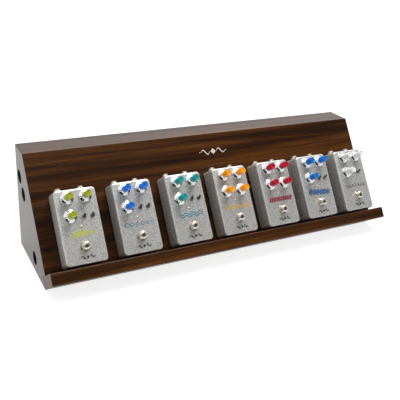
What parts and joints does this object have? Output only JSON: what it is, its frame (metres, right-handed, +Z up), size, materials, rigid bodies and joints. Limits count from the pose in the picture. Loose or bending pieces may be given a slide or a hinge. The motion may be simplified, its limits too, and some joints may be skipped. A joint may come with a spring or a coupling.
{
  "type": "pedalboard with effect pedals",
  "caption": "Slanted wooden pedalboard with a front ledge, carrying a row of compact effect pedals with turning knobs, flip toggles and sprung footswitches.",
  "frame": {"origin": "centre of the footprint, on the surface the board stands on", "axes": "+X to the player's right along the board, +Y towards the back, +Z up"},
  "size_m": [0.615, 0.1892, 0.1726],
  "materials": {
    "walnut": "satin lacquered dark walnut with a straight grain",
    "walnut_end": "satin lacquered dark walnut",
    "inner_board": "satin lacquered dark walnut",
    "cast_metal": "fine hammered silver finish on a cast box",
    "plate_metal": "plain",
    "chrome": "polished",
    "black_lever": "satin black",
    "nickel": "plated",
    "cap_lime": "gloss",
    "cap_blue": "gloss",
    "cap_teal": "gloss",
    "cap_amber": "gloss",
    "cap_red": "gloss",
    "cap_white": "gloss",
    "hook_and_loop": "woven",
    "black_plastic": "moulded"
  },
  "bodies": {
    "board": {"deck_panel": "walnut", "top_panel": "walnut", "left_end_panel": "walnut_end", "right_end_panel": "walnut_end", "bottom_panel": "inner_board", "back_panel": "inner_board", "pedal_ledge": "walnut", "reverb_enclosure": "cast_metal", "reverb_base_plate": "plate_metal", "delay_enclosure": "cast_metal", "delay_base_plate": "plate_metal", "chorus_enclosure": "cast_metal", "chorus_base_plate": "plate_metal", "distortion_enclosure": "cast_metal", "distortion_base_plate": "plate_metal", "overdrive_enclosure": "cast_metal", "overdrive_base_plate": "plate_metal", "drive_enclosure": "cast_metal", "drive_base_plate": "plate_metal", "boost_enclosure": "cast_metal", "boost_base_plate": "plate_metal"},
    "reverb_knob_1": {"reverb_knob_1": "chrome"},
    "reverb_knob_2": {"reverb_knob_2": "chrome"},
    "reverb_knob_3": {"reverb_knob_3": "chrome"},
    "reverb_toggle_1": {"reverb_toggle_1": "black_lever"},
    "reverb_toggle_2": {"reverb_toggle_2": "black_lever"},
    "reverb_footswitch": {"reverb_footswitch": "chrome"},
    "delay_knob_1": {"delay_knob_1": "chrome"},
    "delay_knob_2": {"delay_knob_2": "chrome"},
    "delay_knob_3": {"delay_knob_3": "chrome"},
    "delay_toggle_1": {"delay_toggle_1": "black_lever"},
    "delay_toggle_2": {"delay_toggle_2": "black_lever"},
    "delay_footswitch": {"delay_footswitch": "chrome"},
    "chorus_knob_1": {"chorus_knob_1": "chrome"},
    "chorus_knob_2": {"chorus_knob_2": "chrome"},
    "chorus_knob_3": {"chorus_knob_3": "chrome"},
    "chorus_toggle_1": {"chorus_toggle_1": "black_lever"},
    "chorus_toggle_2": {"chorus_toggle_2": "black_lever"},
    "chorus_footswitch": {"chorus_footswitch": "chrome"},
    "distortion_knob_1": {"distortion_knob_1": "chrome"},
    "distortion_knob_2": {"distortion_knob_2": "chrome"},
    "distortion_knob_3": {"distortion_knob_3": "chrome"},
    "distortion_knob_4": {"distortion_knob_4": "chrome"},
    "distortion_footswitch": {"distortion_footswitch": "chrome"},
    "overdrive_knob_1": {"overdrive_knob_1": "chrome"},
    "overdrive_knob_2": {"overdrive_knob_2": "chrome"},
    "overdrive_knob_3": {"overdrive_knob_3": "chrome"},
    "overdrive_knob_4": {"overdrive_knob_4": "chrome"},
    "overdrive_footswitch": {"overdrive_footswitch": "chrome"},
    "drive_knob_1": {"drive_knob_1": "chrome"},
    "drive_knob_2": {"drive_knob_2": "chrome"},
    "drive_knob_3": {"drive_knob_3": "chrome"},
    "drive_toggle_1": {"drive_toggle_1": "black_lever"},
    "drive_toggle_2": {"drive_toggle_2": "black_lever"},
    "drive_footswitch": {"drive_footswitch": "chrome"},
    "boost_knob_1": {"boost_knob_1": "chrome"},
    "boost_knob_2": {"boost_knob_2": "chrome"},
    "boost_knob_3": {"boost_knob_3": "chrome"},
    "boost_toggle_1": {"boost_toggle_1": "black_lever"},
    "boost_footswitch": {"boost_footswitch": "chrome"}
  },
  "joints": [
    {"name": "reverb_knob_1_turn", "type": "hinge", "parent": "board", "child": "reverb_knob_1", "pos_m": [-0.2642, -0.02328, 0.12704], "axis": [0, -0.8121, 0.5835], "range_deg": [-150, 150]},
    {"name": "reverb_knob_2_turn", "type": "hinge", "parent": "board", "child": "reverb_knob_2", "pos_m": [-0.2372, -0.02328, 0.12704], "axis": [0, -0.8121, 0.5835], "range_deg": [-150, 150]},
    {"name": "reverb_knob_3_turn", "type": "hinge", "parent": "board", "child": "reverb_knob_3", "pos_m": [-0.2642, -0.03916, 0.10495], "axis": [0, -0.8121, 0.5835], "range_deg": [-150, 150]},
    {"name": "reverb_toggle_1_flip", "type": "hinge", "parent": "board", "child": "reverb_toggle_1", "pos_m": [-0.2439, -0.04183, 0.1038], "axis": [1, 0, 0], "range_deg": [0, 44]},
    {"name": "reverb_toggle_2_flip", "type": "hinge", "parent": "board", "child": "reverb_toggle_2", "pos_m": [-0.2312, -0.04183, 0.1038], "axis": [1, 0, 0], "range_deg": [0, 44]},
    {"name": "reverb_footswitch_press", "type": "slide", "parent": "board", "child": "reverb_footswitch", "axis": [0, 0.8121, -0.5835], "range_m": [0, 0.0025], "stiffness_N_per_m": 1000, "springref_m": -0.001},
    {"name": "delay_knob_1_turn", "type": "hinge", "parent": "board", "child": "delay_knob_1", "pos_m": [-0.1769, -0.02328, 0.12704], "axis": [0, -0.8121, 0.5835], "range_deg": [-150, 150]},
    {"name": "delay_knob_2_turn", "type": "hinge", "parent": "board", "child": "delay_knob_2", "pos_m": [-0.1499, -0.02328, 0.12704], "axis": [0, -0.8121, 0.5835], "range_deg": [-150, 150]},
    {"name": "delay_knob_3_turn", "type": "hinge", "parent": "board", "child": "delay_knob_3", "pos_m": [-0.1769, -0.03916, 0.10495], "axis": [0, -0.8121, 0.5835], "range_deg": [-150, 150]},
    {"name": "delay_toggle_1_flip", "type": "hinge", "parent": "board", "child": "delay_toggle_1", "pos_m": [-0.1566, -0.04183, 0.1038], "axis": [1, 0, 0], "range_deg": [0, 44]},
    {"name": "delay_toggle_2_flip", "type": "hinge", "parent": "board", "child": "delay_toggle_2", "pos_m": [-0.1439, -0.04183, 0.1038], "axis": [1, 0, 0], "range_deg": [0, 44]},
    {"name": "delay_footswitch_press", "type": "slide", "parent": "board", "child": "delay_footswitch", "axis": [0, 0.8121, -0.5835], "range_m": [0, 0.0025], "stiffness_N_per_m": 1000, "springref_m": -0.001},
    {"name": "chorus_knob_1_turn", "type": "hinge", "parent": "board", "child": "chorus_knob_1", "pos_m": [-0.0898, -0.02328, 0.12704], "axis": [0, -0.8121, 0.5835], "range_deg": [-150, 150]},
    {"name": "chorus_knob_2_turn", "type": "hinge", "parent": "board", "child": "chorus_knob_2", "pos_m": [-0.0628, -0.02328, 0.12704], "axis": [0, -0.8121, 0.5835], "range_deg": [-150, 150]},
    {"name": "chorus_knob_3_turn", "type": "hinge", "parent": "board", "child": "chorus_knob_3", "pos_m": [-0.0898, -0.03916, 0.10495], "axis": [0, -0.8121, 0.5835], "range_deg": [-150, 150]},
    {"name": "chorus_toggle_1_flip", "type": "hinge", "parent": "board", "child": "chorus_toggle_1", "pos_m": [-0.0695, -0.04183, 0.1038], "axis": [1, 0, 0], "range_deg": [0, 44]},
    {"name": "chorus_toggle_2_flip", "type": "hinge", "parent": "board", "child": "chorus_toggle_2", "pos_m": [-0.0568, -0.04183, 0.1038], "axis": [1, 0, 0], "range_deg": [0, 44]},
    {"name": "chorus_footswitch_press", "type": "slide", "parent": "board", "child": "chorus_footswitch", "axis": [0, 0.8121, -0.5835], "range_m": [0, 0.0025], "stiffness_N_per_m": 1000, "springref_m": -0.001},
    {"name": "distortion_knob_1_turn", "type": "hinge", "parent": "board", "child": "distortion_knob_1", "pos_m": [-0.0049, -0.02328, 0.12704], "axis": [0, -0.8121, 0.5835], "range_deg": [-150, 150]},
    {"name": "distortion_knob_2_turn", "type": "hinge", "parent": "board", "child": "distortion_knob_2", "pos_m": [0.0221, -0.02328, 0.12704], "axis": [0, -0.8121, 0.5835], "range_deg": [-150, 150]},
    {"name": "distortion_knob_3_turn", "type": "hinge", "parent": "board", "child": "distortion_knob_3", "pos_m": [-0.0049, -0.03916, 0.10495], "axis": [0, -0.8121, 0.5835], "range_deg": [-150, 150]},
    {"name": "distortion_knob_4_turn", "type": "hinge", "parent": "board", "child": "distortion_knob_4", "pos_m": [0.0221, -0.03916, 0.10495], "axis": [0, -0.8121, 0.5835], "range_deg": [-150, 150]},
    {"name": "distortion_footswitch_press", "type": "slide", "parent": "board", "child": "distortion_footswitch", "axis": [0, 0.8121, -0.5835], "range_m": [0, 0.0025], "stiffness_N_per_m": 1000, "springref_m": -0.001},
    {"name": "overdrive_knob_1_turn", "type": "hinge", "parent": "board", "child": "overdrive_knob_1", "pos_m": [0.0807, -0.02328, 0.12704], "axis": [0, -0.8121, 0.5835], "range_deg": [-150, 150]},
    {"name": "overdrive_knob_2_turn", "type": "hinge", "parent": "board", "child": "overdrive_knob_2", "pos_m": [0.1077, -0.02328, 0.12704], "axis": [0, -0.8121, 0.5835], "range_deg": [-150, 150]},
    {"name": "overdrive_knob_3_turn", "type": "hinge", "parent": "board", "child": "overdrive_knob_3", "pos_m": [0.0807, -0.03916, 0.10495], "axis": [0, -0.8121, 0.5835], "range_deg": [-150, 150]},
    {"name": "overdrive_knob_4_turn", "type": "hinge", "parent": "board", "child": "overdrive_knob_4", "pos_m": [0.1077, -0.03916, 0.10495], "axis": [0, -0.8121, 0.5835], "range_deg": [-150, 150]},
    {"name": "overdrive_footswitch_press", "type": "slide", "parent": "board", "child": "overdrive_footswitch", "axis": [0, 0.8121, -0.5835], "range_m": [0, 0.0025], "stiffness_N_per_m": 1000, "springref_m": -0.001},
    {"name": "drive_knob_1_turn", "type": "hinge", "parent": "board", "child": "drive_knob_1", "pos_m": [0.1638, -0.02328, 0.12704], "axis": [0, -0.8121, 0.5835], "range_deg": [-150, 150]},
    {"name": "drive_knob_2_turn", "type": "hinge", "parent": "board", "child": "drive_knob_2", "pos_m": [0.1908, -0.02328, 0.12704], "axis": [0, -0.8121, 0.5835], "range_deg": [-150, 150]},
    {"name": "drive_knob_3_turn", "type": "hinge", "parent": "board", "child": "drive_knob_3", "pos_m": [0.1638, -0.03916, 0.10495], "axis": [0, -0.8121, 0.5835], "range_deg": [-150, 150]},
    {"name": "drive_toggle_1_flip", "type": "hinge", "parent": "board", "child": "drive_toggle_1", "pos_m": [0.1841, -0.04183, 0.1038], "axis": [1, 0, 0], "range_deg": [0, 44]},
    {"name": "drive_toggle_2_flip", "type": "hinge", "parent": "board", "child": "drive_toggle_2", "pos_m": [0.1968, -0.04183, 0.1038], "axis": [1, 0, 0], "range_deg": [0, 44]},
    {"name": "drive_footswitch_press", "type": "slide", "parent": "board", "child": "drive_footswitch", "axis": [0, 0.8121, -0.5835], "range_m": [0, 0.0025], "stiffness_N_per_m": 1000, "springref_m": -0.001},
    {"name": "boost_knob_1_turn", "type": "hinge", "parent": "board", "child": "boost_knob_1", "pos_m": [0.2474, -0.02328, 0.12704], "axis": [0, -0.8121, 0.5835], "range_deg": [-150, 150]},
    {"name": "boost_knob_2_turn", "type": "hinge", "parent": "board", "child": "boost_knob_2", "pos_m": [0.2744, -0.02328, 0.12704], "axis": [0, -0.8121, 0.5835], "range_deg": [-150, 150]},
    {"name": "boost_knob_3_turn", "type": "hinge", "parent": "board", "child": "boost_knob_3", "pos_m": [0.2474, -0.03916, 0.10495], "axis": [0, -0.8121, 0.5835], "range_deg": [-150, 150]},
    {"name": "boost_toggle_1_flip", "type": "hinge", "parent": "board", "child": "boost_toggle_1", "pos_m": [0.2741, -0.04183, 0.1038], "axis": [1, 0, 0], "range_deg": [0, 44]},
    {"name": "boost_footswitch_press", "type": "slide", "parent": "board", "child": "boost_footswitch", "axis": [0, 0.8121, -0.5835], "range_m": [0, 0.0025], "stiffness_N_per_m": 1000, "springref_m": -0.001}
  ]
}
